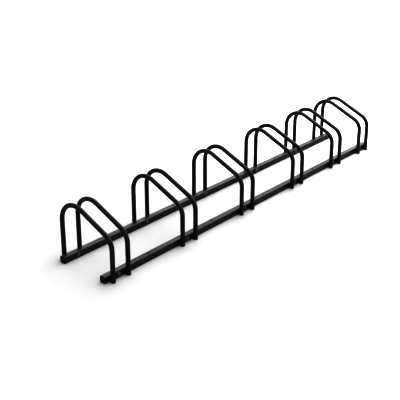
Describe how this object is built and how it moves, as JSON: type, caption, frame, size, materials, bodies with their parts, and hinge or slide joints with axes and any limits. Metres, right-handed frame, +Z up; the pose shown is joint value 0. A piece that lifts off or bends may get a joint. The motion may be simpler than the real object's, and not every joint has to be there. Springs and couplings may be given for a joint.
{
  "type": "floor bike rack",
  "caption": "Low floor rack of bent-tube hoops in pairs, bolted between two square rails, each pair holding one bicycle wheel.",
  "frame": {"origin": "on the floor, under the middle of the rack's length and depth", "axes": "+X along the two rails, -Y towards the low front that a wheel comes in from, +Y towards the tall rear, +Z up"},
  "size_m": [2.117, 0.332, 0.286],
  "materials": {
    "frame_coat": "satin black powder coat on the hoops and their welded plates",
    "rail_coat": "satin black powder coat on the square rails",
    "cap_plastic": "moulded black polyethylene plugs with a fine grain",
    "bolt_black": "black-finished carriage bolts, slightly glossy domed heads",
    "washer_zinc": "flat washers with a black-passivated zinc finish",
    "nut_zinc": "hexagon nuts with a black-passivated zinc finish"
  },
  "bodies": {
    "root": {"hoop_1_left": "frame_coat", "hoop_1_right": "frame_coat", "hoop_2_left": "frame_coat", "hoop_2_right": "frame_coat", "hoop_3_left": "frame_coat", "hoop_3_right": "frame_coat", "hoop_4_left": "frame_coat", "hoop_4_right": "frame_coat", "hoop_5_left": "frame_coat", "hoop_5_right": "frame_coat", "hoop_6_left": "frame_coat", "hoop_6_right": "frame_coat", "foot_cap_1_left_front": "cap_plastic", "foot_cap_1_left_rear": "cap_plastic", "foot_cap_1_right_front": "cap_plastic", "foot_cap_1_right_rear": "cap_plastic", "foot_cap_2_left_front": "cap_plastic", "foot_cap_2_left_rear": "cap_plastic", "foot_cap_2_right_front": "cap_plastic", "foot_cap_2_right_rear": "cap_plastic", "foot_cap_3_left_front": "cap_plastic", "foot_cap_3_left_rear": "cap_plastic", "foot_cap_3_right_front": "cap_plastic", "foot_cap_3_right_rear": "cap_plastic", "foot_cap_4_left_front": "cap_plastic", "foot_cap_4_left_rear": "cap_plastic", "foot_cap_4_right_front": "cap_plastic", "foot_cap_4_right_rear": "cap_plastic", "foot_cap_5_left_front": "cap_plastic", "foot_cap_5_left_rear": "cap_plastic", "foot_cap_5_right_front": "cap_plastic", "foot_cap_5_right_rear": "cap_plastic", "foot_cap_6_left_front": "cap_plastic", "foot_cap_6_left_rear": "cap_plastic", "foot_cap_6_right_front": "cap_plastic", "foot_cap_6_right_rear": "cap_plastic", "front_plate_1": "frame_coat", "front_plate_2": "frame_coat", "front_plate_3": "frame_coat", "front_plate_4": "frame_coat", "front_plate_5": "frame_coat", "front_plate_6": "frame_coat", "rear_plate_1": "frame_coat", "rear_plate_2": "frame_coat", "rear_plate_3": "frame_coat", "rear_plate_4": "frame_coat", "rear_plate_5": "frame_coat", "rear_plate_6": "frame_coat", "front_rail": "rail_coat", "rear_rail": "rail_coat", "front_rail_cap_left": "cap_plastic", "front_rail_cap_right": "cap_plastic", "rear_rail_cap_left": "cap_plastic", "rear_rail_cap_right": "cap_plastic", "front_bolts": "bolt_black", "front_washers": "washer_zinc", "front_nuts": "nut_zinc", "rear_bolts": "bolt_black", "rear_washers": "washer_zinc", "rear_nuts": "nut_zinc"}
  },
  "joints": []
}
